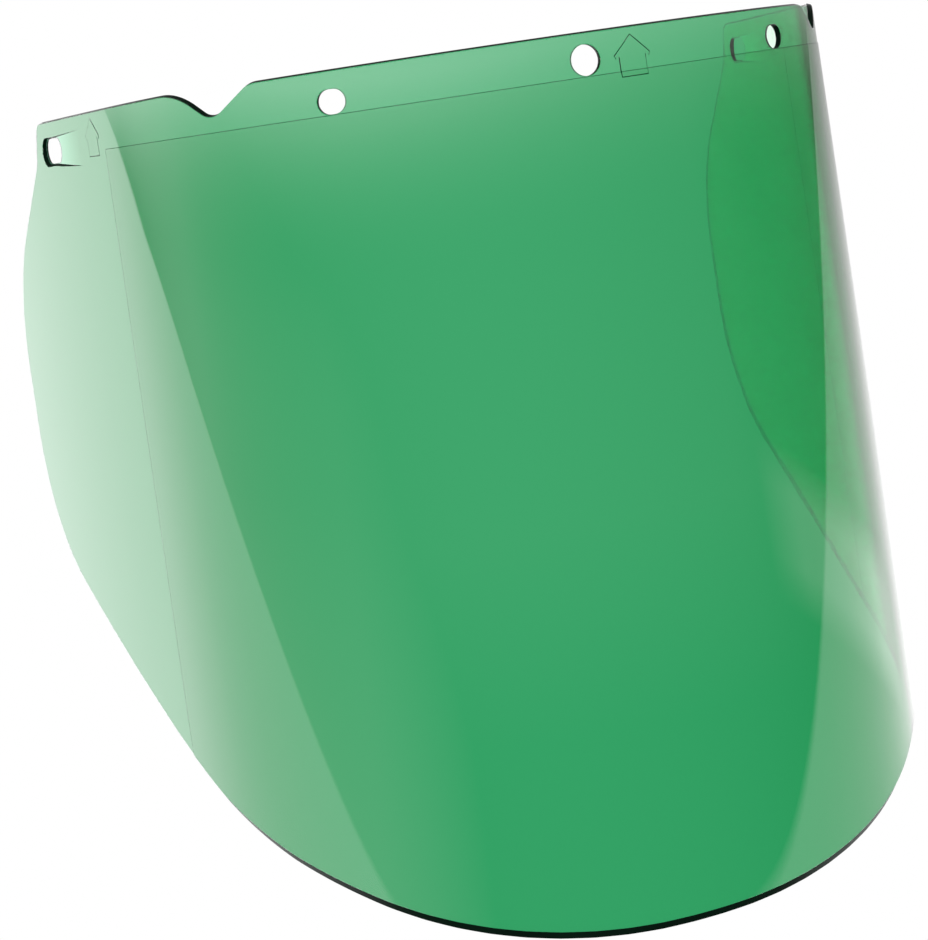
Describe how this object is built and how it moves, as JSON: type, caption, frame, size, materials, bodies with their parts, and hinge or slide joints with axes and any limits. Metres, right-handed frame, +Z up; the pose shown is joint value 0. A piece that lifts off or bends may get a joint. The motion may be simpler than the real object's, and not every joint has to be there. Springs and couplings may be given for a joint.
{
  "type": "face shield window",
  "caption": "Clear green wrap-around face shield window with slanted lower rim, stud holes, edge notches and ramped tail slots.",
  "frame": {"origin": "centre of the middle stud hole, on the window's outer face", "axes": "+Z up, -Y out through the front of the window, +X to the right seen from the front"},
  "size_m": [0.2494, 0.202, 0.236],
  "materials": {
    "green_polycarbonate": "clear green tint through the whole sheet, polished on both faces"
  },
  "bodies": {
    "root": {"visor_window": "green_polycarbonate"}
  },
  "joints": []
}
